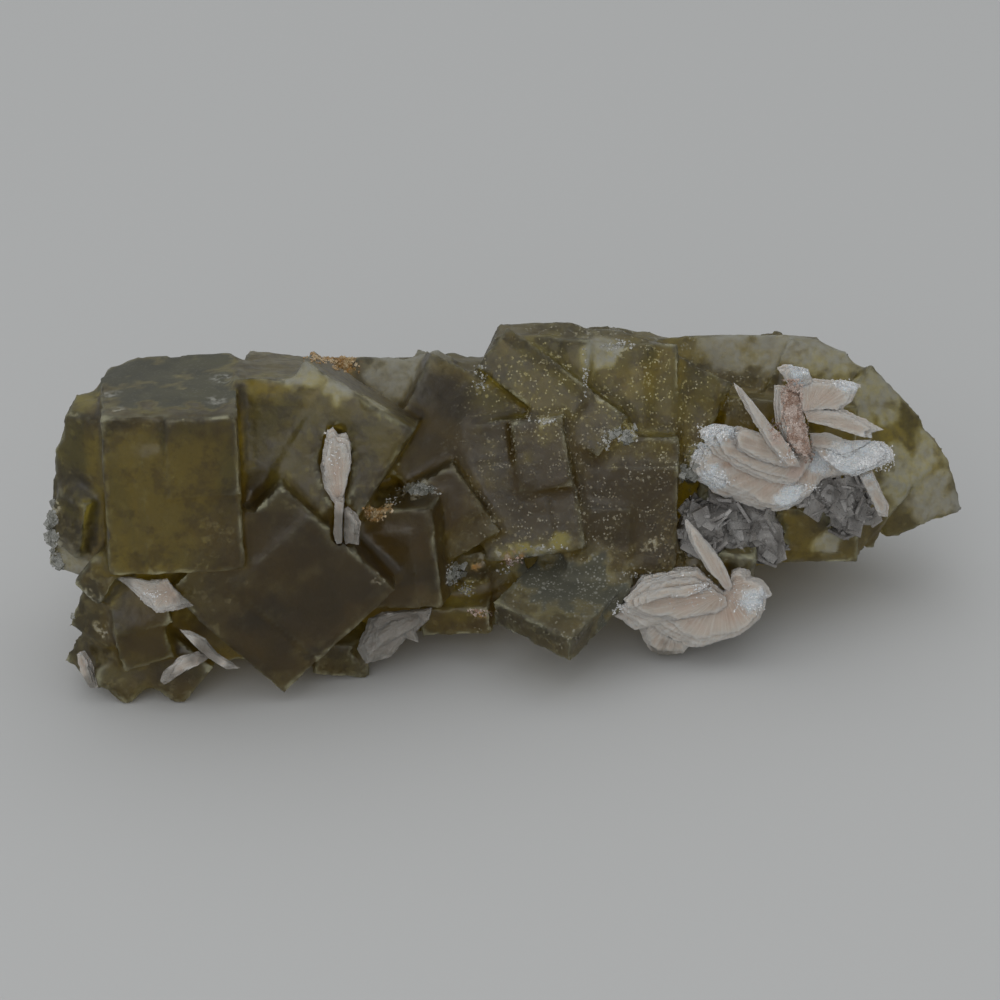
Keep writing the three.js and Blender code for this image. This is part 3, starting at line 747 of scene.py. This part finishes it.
def barite_piece(node):
    random = np.random.default_rng(SEED + len(node))
    points, faces, rims, roots, sweeps, tones = [], [], [], [], [], []
    for plate in BARITE_PLATES[node]:
        for placed, triangles, rim, from_root, sweep in plate_leaves(plate, random):
            start = len(points)
            points += placed
            faces += [tuple(v + start for v in t) for t in triangles]
            rims += list(rim)
            roots += list(from_root)
            sweeps += list(sweep)
            tones += [random.random()] * len(placed)
    mesh = bpy.data.meshes.new(node + "_leaves")
    mesh.from_pydata(points, [], faces)
    mesh.validate()
    store(mesh, "edge", rims)
    store(mesh, "root", roots)
    store(mesh, "sweep", sweeps)
    store(mesh, "tone", tones)
    surface = BVHTree.FromPolygons(points, faces)
    placed = points_of(mesh)
    for kind, spots in BARITE_SPOTS.items():
        store(mesh, kind, spot_amount(placed, surface, spots, noise_at(placed, 1.3, 4)))
    smooth(mesh, BARITE_SHARP)
    return new_object(node + "_leaves", mesh)


# Grey druse

def add_crystal(body, place, outwards, size, flatness, tilt, random):
    """One small flat crystal, sunk a little into the surface and tilted at random from it."""
    turn = outwards.to_track_quat("Z", "Y").to_matrix()
    turn = turn @ Euler((*random.uniform(-tilt, tilt, 2), random.uniform(0, math.pi))).to_matrix()
    shape = Matrix.Diagonal((size, size * random.uniform(0.6, 1.0), size * flatness, 1))
    sunk = Matrix.Translation(place - outwards * size * flatness * 0.3)
    bmesh.ops.create_cube(body, size=1, matrix=sunk @ turn.to_4x4() @ shape)


def druse_piece(node):
    """A lumpy body with small plates and grains standing on it."""
    random = np.random.default_rng(SEED + len(node))
    source = welded(node)
    mesh = remeshed(source, DRUSE_VOXEL)
    outwards = normals_of(mesh)
    points = relaxed(points_of(mesh), edges_of(mesh), DRUSE_ROUNDS)
    rough = 0.2 * noise_at(points, 0.6, 2) + 0.08 * noise_at(points, 2.0, 6) - 0.1
    mesh.vertices.foreach_set("co", (points + outwards * (rough * MM)[:, None]).ravel())
    body = bmesh.new()
    body.from_mesh(mesh)
    for per_mm2, sizes, flatness, tilt in DRUSE_CRYSTALS:
        for face in source.faces:
            count = int(face.calc_area() / MM**2 * per_mm2 + random.random())
            corners = [vertex.co for vertex in face.verts]
            for _ in range(count):
                share = random.dirichlet((1, 1, 1))
                place = sum((c * w for c, w in zip(corners, share)), Vector())
                size = random.uniform(*sizes) * MM
                add_crystal(body, place, face.normal, size, flatness, tilt, random)
    body.to_mesh(mesh)
    body.free()
    source.free()
    mesh.shade_flat()
    return new_object(node + "_plates", mesh)


def grains_piece(name, surface):
    """Small crystals where the lines of sight through each spot meet the specimen."""
    random = np.random.default_rng(SEED + len(name))
    kind = GRAINS[name]
    body = bmesh.new()
    for middle, radii, count in kind["spots"]:
        for _ in range(count):
            offset = np.clip(random.normal(0, 0.5, 2), -1, 1) * radii
            place, outwards, _, _ = surface.ray_cast(CAMERA_PLACE, sight_of(np.array(middle) + offset))
            if place is None:
                continue
            size = random.uniform(*kind["size"]) * MM
            add_crystal(body, place, outwards, size, kind["flatness"], GRAIN_TILT, random)
    mesh = bpy.data.meshes.new(name)
    body.to_mesh(mesh)
    body.free()
    return new_object(name, mesh)


# Materials

def new_material(name):
    made = bpy.data.materials.new(name)
    made.use_nodes = True
    made.node_tree.nodes.clear()
    return made, made.node_tree


class Graph:
    """Short calls for the nodes of one material."""

    def __init__(self, tree):
        self.tree = tree

    def add(self, kind, **settings):
        made = self.tree.nodes.new(kind)
        for name, value in settings.items():
            setattr(made, name, value)
        return made

    def link(self, source, target):
        self.tree.links.new(source, target)

    def put(self, value, socket):
        if isinstance(value, bpy.types.NodeSocket):
            self.link(value, socket)
        else:
            socket.default_value = value

    def attribute(self, name):
        return self.add("ShaderNodeAttribute", attribute_name=name).outputs["Fac"]

    def place(self):
        return self.add("ShaderNodeTexCoord").outputs["Object"]

    def noise(self, scale, detail=3.0, roughness=0.55):
        made = self.add("ShaderNodeTexNoise")
        self.link(self.place(), made.inputs["Vector"])
        made.inputs["Scale"].default_value = scale
        made.inputs["Detail"].default_value = detail
        made.inputs["Roughness"].default_value = roughness
        return made.outputs["Fac"]

    def dots(self, scale, radius):
        """Round dots, one in each cell, which fade out over the outer half of their radius."""
        made = self.add("ShaderNodeTexVoronoi")
        self.link(self.place(), made.inputs["Vector"])
        made.inputs["Scale"].default_value = scale
        return self.fade(made.outputs["Distance"], radius, radius * 0.5)

    def streaks(self, across, along, scale, detail):
        """Noise drawn out along one of two numbers."""
        joined = self.add("ShaderNodeCombineXYZ")
        self.link(across, joined.inputs["X"])
        self.link(self.times(along, 0.15), joined.inputs["Y"])
        made = self.add("ShaderNodeTexNoise")
        self.link(joined.outputs[0], made.inputs["Vector"])
        made.inputs["Scale"].default_value = scale
        made.inputs["Detail"].default_value = detail
        return made.outputs["Fac"]

    def math(self, operation, a, b):
        made = self.add("ShaderNodeMath", operation=operation)
        self.put(a, made.inputs[0])
        self.put(b, made.inputs[1])
        return made.outputs[0]

    def times(self, a, b):
        return self.math("MULTIPLY", a, b)

    def larger(self, a, b):
        return self.math("MAXIMUM", a, b)

    def fade(self, value, low, high, to_low=0.0, to_high=1.0):
        """Maps value from low..high to to_low..to_high, clamped."""
        made = self.add("ShaderNodeMapRange", interpolation_type="SMOOTHSTEP")
        self.put(value, made.inputs["Value"])
        made.inputs["From Min"].default_value = low
        made.inputs["From Max"].default_value = high
        made.inputs["To Min"].default_value = to_low
        made.inputs["To Max"].default_value = to_high
        return made.outputs["Result"]

    def mix(self, factor, a, b):
        made = self.add("ShaderNodeMix", data_type="RGBA")
        self.put(factor, made.inputs["Factor"])
        self.put(a, made.inputs["A"])
        self.put(b, made.inputs["B"])
        return made.outputs["Result"]

    def bump(self, height, strength, distance):
        made = self.add("ShaderNodeBump")
        made.inputs["Strength"].default_value = strength
        made.inputs["Distance"].default_value = distance
        self.link(height, made.inputs["Height"])
        return made.outputs["Normal"]

    def upwards(self):
        """1 where the surface looks up, 0 where it is upright, -1 where it looks down."""
        split = self.add("ShaderNodeSeparateXYZ")
        self.link(self.add("ShaderNodeNewGeometry").outputs["Normal"], split.inputs[0])
        return split.outputs["Z"]

    def along(self, axis):
        split = self.add("ShaderNodeSeparateXYZ")
        self.link(self.place(), split.inputs[0])
        return split.outputs[axis]


def rgb(red, green, blue):
    return (red, green, blue, 1.0)


# Colours of the fluorite
OLIVE = rgb(0.64, 0.54, 0.20)
BROWN_OLIVE = rgb(0.46, 0.36, 0.15)
PALE_OLIVE = rgb(0.54, 0.50, 0.34)
# Deep brown of thick crystal, also used as painted shadow
DEEP_BROWN_AND_PAINTED_SHADE = rgb(0.21, 0.145, 0.07)
# Painted light: the yellow of light shining through thin crystal
PAINTED_GLOW_YELLOW = rgb(0.88, 0.74, 0.17)
# Painted light: the pale glow of light through the thin edges
PAINTED_EDGE_GLOW = rgb(0.80, 0.79, 0.58)
DARK_MOTTLE = rgb(0.22, 0.17, 0.09)
BROWN_FILM = rgb(0.145, 0.12, 0.042)
WORN_EDGE = rgb(0.34, 0.33, 0.21)
FROST_GREY = rgb(0.30, 0.30, 0.275)
SLATE_GREY = rgb(0.06, 0.064, 0.056)
ORANGE_STAIN = rgb(0.42, 0.22, 0.07)
WHITE_SPECK = rgb(0.31, 0.305, 0.265)
LIGHT_LEFT_BY_DEPTH = rgb(0.76, 0.705, 0.14)
ABSORPTION = 235.0  # how strongly the inside takes light away, to the metre

# Colours of the barite
PALE_PINK = rgb(0.56, 0.485, 0.41)
WARM_PINK = rgb(0.49, 0.33, 0.24)
LEAF_PINK = rgb(0.54, 0.43, 0.345)
LIGHT_STREAK = rgb(0.68, 0.63, 0.575)
DARK_STREAK = rgb(0.42, 0.31, 0.24)
WHITE_RIM = rgb(0.68, 0.635, 0.585)
REDDISH_BLADE = rgb(0.54, 0.39, 0.32)
# Painted shade on the barite
PAINTED_SHADE_BROWN = rgb(0.16, 0.145, 0.12)
# Painted highlight: the white of the glitter
PAINTED_GLINT_WHITE = rgb(0.90, 0.90, 0.895)

# Colours of the grey druse
DARK_GREY = rgb(0.22, 0.205, 0.192)
LIGHT_GREY = rgb(0.42, 0.402, 0.382)

# How strongly each mineral bends light
FLUORITE_IOR = 1.434
BARITE_IOR = 1.64
DRUSE_IOR = 1.5
GRAIN_IOR = 1.6


def principled(g, colour, roughness, transmission, ior, normal):
    shader = g.add("ShaderNodeBsdfPrincipled")
    g.put(colour, shader.inputs["Base Color"])
    g.put(roughness, shader.inputs["Roughness"])
    g.put(transmission, shader.inputs["Transmission Weight"])
    shader.inputs["IOR"].default_value = ior
    g.link(normal, shader.inputs["Normal"])
    out = g.add("ShaderNodeOutputMaterial")
    g.link(shader.outputs["BSDF"], out.inputs["Surface"])
    return shader, out


def fluorite_material():
    made, tree = new_material("fluorite")
    g = Graph(tree)
    edge, tone = g.attribute("edge"), g.attribute("tone")
    cloud = g.noise(110, 3)
    fine = g.noise(1300, 2)
    body = g.mix(g.fade(cloud, 0.35, 0.65), OLIVE, BROWN_OLIVE)
    body = g.mix(g.fade(tone, 0.2, 0.9, 0.0, 0.35), body, PALE_OLIVE)
    # deep brown of thick crystal and painted shadow in the dark spots
    body = g.mix(g.times(g.attribute("dark"), 0.8), body, DEEP_BROWN_AND_PAINTED_SHADE)
    # painted glow of light through thin crystal
    body = g.mix(g.times(g.attribute("painted_glow"), 0.8), body, PAINTED_GLOW_YELLOW)
    # painted glow of light through the thin edges, along the convex edges
    rim = g.times(g.fade(edge, 0.15, 0.9), g.fade(cloud, 0.3, 0.65, 1.0, 0.4))
    body = g.mix(rim, body, PAINTED_EDGE_GLOW)
    mottle = g.noise(420, 3, 0.7)
    body = g.mix(g.fade(mottle, 0.55, 0.35, 0.0, 0.6), body, DARK_MOTTLE)
    film = g.times(g.fade(g.noise(900, 3, 0.75), 0.45, 0.66), 0.36)
    film = g.times(film, g.fade(g.attribute("dark"), 0.0, 1.0, 1.0, 0.35))
    film = g.times(film, g.fade(g.attribute("painted_glow"), 0.0, 1.0, 1.0, 0.5))
    dust = g.times(g.fade(g.upwards(), 0.65, 0.98), g.fade(cloud, 0.3, 0.7, 0.15, 0.45))
    dust = g.larger(dust, film)
    frost = g.times(g.attribute("frost"), g.fade(fine, 0.2, 0.7, 0.55, 0.85))
    slate = g.times(g.attribute("slate"), 0.9)
    orange = g.times(g.attribute("orange"), g.fade(fine, 0.35, 0.6))
    white = g.times(g.attribute("white"), g.fade(fine, 0.42, 0.62, 0.0, 0.8))
    speckle = g.times(g.dots(3200, 0.42), g.fade(g.noise(1500, 1), 0.36, 0.62, 0.0, 0.8))
    blots = g.times(g.dots(1300, 0.32), g.fade(g.noise(800, 2), 0.45, 0.6, 0.0, 0.6))
    speckle = g.larger(speckle, blots)
    where = g.fade(g.along("X"), -0.012, 0.002, 0.2, 1.0)
    past = g.fade(g.along("X"), 0.022, 0.032, 1.0, 0.3)
    where = g.times(where, past)
    patch = g.times(g.fade(g.noise(260, 1), 0.3, 0.6, 0.4, 1.0), where)
    white = g.larger(white, g.times(speckle, patch))
    colour = g.mix(dust, body, BROWN_FILM)
    worn_rim = g.times(rim, g.fade(mottle, 0.4, 0.62, 0.15, 0.75))
    colour = g.mix(worn_rim, colour, WORN_EDGE)
    colour = g.mix(frost, colour, FROST_GREY)
    colour = g.mix(slate, colour, SLATE_GREY)
    colour = g.mix(orange, colour, ORANGE_STAIN)
    colour = g.mix(white, colour, WHITE_SPECK)
    cover = g.larger(g.times(dust, 0.8), g.times(frost, 0.85))
    cover = g.larger(cover, g.times(worn_rim, 0.8))
    cover = g.larger(cover, g.larger(slate, g.larger(white, orange)))
    roughness = g.fade(g.math("ADD", fine, cover), 0.3, 1.2, 0.28, 0.6)
    transmission = g.fade(cover, 0.0, 1.0, 0.94, 0.08)
    normal = g.bump(fine, 0.4, 0.0001)
    shader, out = principled(g, colour, roughness, transmission, FLUORITE_IOR, normal)
    shader.inputs["Specular IOR Level"].default_value = 0.15
    depth = g.add("ShaderNodeVolumeAbsorption")
    depth.inputs["Color"].default_value = LIGHT_LEFT_BY_DEPTH
    depth.inputs["Density"].default_value = ABSORPTION
    g.link(depth.outputs["Volume"], out.inputs["Volume"])
    return made


def barite_material():
    made, tree = new_material("barite")
    g = Graph(tree)
    edge, root, tone = g.attribute("edge"), g.attribute("root"), g.attribute("tone")
    painted_glint, reddish = g.attribute("painted_glint"), g.attribute("reddish")
    cloud = g.noise(260, 4)
    grain = g.noise(2600, 4, 0.65)
    streak = g.streaks(g.attribute("sweep"), root, 16, 5)
    warm = g.times(g.fade(edge, 0.0, 0.9, 1.0, 0.15), g.fade(cloud, 0.35, 0.62, 0.35, 1.0))
    warm = g.larger(warm, g.fade(root, 0.05, 0.4, 0.8, 0.0))
    colour = g.mix(warm, PALE_PINK, WARM_PINK)
    colour = g.mix(g.fade(tone, 0.3, 1.0, 0.0, 0.4), colour, LEAF_PINK)
    colour = g.mix(g.fade(streak, 0.45, 0.7, 0.0, 0.55), colour, LIGHT_STREAK)
    colour = g.mix(g.fade(streak, 0.5, 0.3, 0.0, 0.35), colour, DARK_STREAK)
    colour = g.mix(g.fade(edge, 0.7, 1.0, 0.0, 0.5), colour, WHITE_RIM)
    colour = g.mix(g.times(reddish, 0.85), colour, REDDISH_BLADE)
    # painted shade under the specimen and at the blade bases
    colour = g.mix(g.times(g.attribute("painted_shade"), 0.85), colour, PAINTED_SHADE_BROWN)
    # painted glitter highlight
    colour = g.mix(painted_glint, colour, PAINTED_GLINT_WHITE)
    height = g.math("ADD", grain, g.times(streak, 0.8))
    height = g.times(height, g.fade(painted_glint, 0.0, 1.0, 1.0, 3.0))
    shine = g.fade(painted_glint, 0.0, 1.0, 1.0, 0.5)
    roughness = g.times(g.fade(grain, 0.3, 0.7, 0.28, 0.5), shine)
    normal = g.bump(height, 0.7, 0.00015)
    shader, _ = principled(g, colour, roughness, 0.25, BARITE_IOR, normal)
    shader.inputs["Subsurface Weight"].default_value = 0.5
    shader.inputs["Subsurface Radius"].default_value = (1.0, 0.75, 0.6)
    shader.inputs["Subsurface Scale"].default_value = 0.0012
    return made


def druse_material():
    made, tree = new_material("grey_druse")
    g = Graph(tree)
    cloud = g.noise(300, 4)
    grain = g.noise(2600, 3)
    colour = g.mix(g.fade(cloud, 0.35, 0.65), DARK_GREY, LIGHT_GREY)
    roughness = g.fade(grain, 0.3, 0.7, 0.2, 0.5)
    normal = g.bump(grain, 0.5, 0.0001)
    shader, _ = principled(g, colour, roughness, 0.35, DRUSE_IOR, normal)
    shader.inputs["Subsurface Weight"].default_value = 0.3
    shader.inputs["Subsurface Radius"].default_value = (1.0, 0.95, 0.9)
    shader.inputs["Subsurface Scale"].default_value = 0.0008
    return made


def grain_material(name, dark, light, transmission):
    made, tree = new_material(name)
    g = Graph(tree)
    colour = g.mix(g.fade(g.noise(1500, 2), 0.4, 0.6), dark, light)
    roughness = g.fade(g.noise(3000, 1), 0.3, 0.7, 0.08, 0.3)
    principled(g, colour, roughness, transmission, GRAIN_IOR, g.bump(g.noise(5000), 0.2, 0.00005))
    return made


def floor_material():
    made, tree = new_material("floor")
    g = Graph(tree)
    shade = g.mix(g.noise(3, 2), rgb(0.51, 0.51, 0.505), rgb(0.53, 0.53, 0.525))
    shader = g.add("ShaderNodeBsdfPrincipled")
    g.link(shade, shader.inputs["Base Color"])
    shader.inputs["Roughness"].default_value = 0.75
    shader.inputs["Specular IOR Level"].default_value = 0.2
    out = g.add("ShaderNodeOutputMaterial")
    g.link(shader.outputs["BSDF"], out.inputs["Surface"])
    return made


# Dark and light colour, how much light goes through, and the colour group
GRAIN_FINISH = {
    # near-white colour as a painted glint
    "silver_grains": (rgb(0.72, 0.72, 0.72), rgb(0.92, 0.92, 0.92), 0.15, "barite"),
    "reddish_grains": (rgb(0.46, 0.31, 0.24), rgb(0.72, 0.59, 0.52), 0.3, "barite"),
    "orange_grains": (rgb(0.40, 0.23, 0.08), rgb(0.58, 0.44, 0.25), 0.2, "fluorite"),
    "white_grains": (rgb(0.34, 0.33, 0.29), rgb(0.56, 0.55, 0.51), 0.25, "grey_druse"),
    "pale_lumps": (rgb(0.30, 0.30, 0.26), rgb(0.50, 0.50, 0.46), 0.5, "grey_druse"),
}


# Studio

def make_floor():
    half = 1.5
    mesh = bpy.data.meshes.new("floor")
    corners = [(-half, -half, 0), (half, -half, 0), (half, half, 0), (-half, half, 0)]
    mesh.from_pydata(corners, [], [(0, 1, 2, 3)])
    mesh.materials.append(floor_material())
    new_object("floor", mesh)


def make_lamp(name, place, aim, size, power):
    data = bpy.data.lights.new(name, "AREA")
    data.shape = "RECTANGLE"
    data.size, data.size_y = size
    data.energy = power
    lamp = new_object(name, data)
    lamp.location = place
    lamp.rotation_euler = (Vector(aim) - Vector(place)).to_track_quat("-Z", "Y").to_euler()


def make_world():
    world = bpy.data.worlds.new("studio")
    world.use_nodes = True
    world.node_tree.nodes["Background"].inputs["Color"].default_value = rgb(0.95, 0.98, 1.0)
    world.node_tree.nodes["Background"].inputs["Strength"].default_value = 0.5
    bpy.context.scene.world = world


def make_camera():
    data = bpy.data.cameras.new("camera")
    data.sensor_width = SENSOR
    data.lens = CAMERA_LENS
    data.clip_start = 0.01
    data.clip_end = 10
    camera = new_object("camera", data)
    camera.location = CAMERA_PLACE
    camera.rotation_euler = (CAMERA_TILT, 0, 0)
    bpy.context.scene.camera = camera


def set_light_paths():
    """How often light is followed from surface to surface, and plain display of its colours."""
    scene = bpy.context.scene
    scene.view_settings.view_transform = "Standard"
    scene.cycles.max_bounces = 6
    scene.cycles.diffuse_bounces = 2
    scene.cycles.glossy_bounces = 2
    scene.cycles.transmission_bounces = 5


def finish_piece(piece, node, material):
    piece.data.materials.clear()
    piece.data.materials.append(material)
    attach(piece, "root")
    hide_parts(node)


def surface_of(pieces):
    """One search tree over the surfaces of several pieces."""
    whole = bmesh.new()
    for piece in pieces:
        whole.from_mesh(piece.data)
    found = BVHTree.FromBMesh(whole)
    whole.free()
    return found


blades = {node: barite_piece(node) for node in BARITE_PLATES}
druses = {node: druse_piece(node) for node in ("grey_druse_middle", "grey_druse_right")}
fluorite = fluorite_piece("fluorite_matrix", surface_of([*blades.values(), *druses.values()]))

finish_piece(fluorite, "fluorite_matrix", fluorite_material())
barite = barite_material()
for spray_node, piece in blades.items():
    finish_piece(piece, spray_node, barite)
grey = druse_material()
for druse_node, piece in druses.items():
    finish_piece(piece, druse_node, grey)
specimen = surface_of([fluorite, *blades.values(), *druses.values()])
for name, (dark, light, transmission, slot) in GRAIN_FINISH.items():
    piece = grains_piece(name, specimen)
    piece.data.materials.append(grain_material(name, dark, light, transmission))
    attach(piece, "root")

make_floor()
make_world()
make_lamp("overhead", place=(-0.1, 0.05, 0.7), aim=(0, 0, 0.01), size=(1.3, 1.0), power=1.8)
make_lamp("front_fill", place=(-0.2, -0.8, 0.4), aim=(0, 0, 0.02), size=(0.9, 0.6), power=2.3)
make_camera()
set_light_paths()
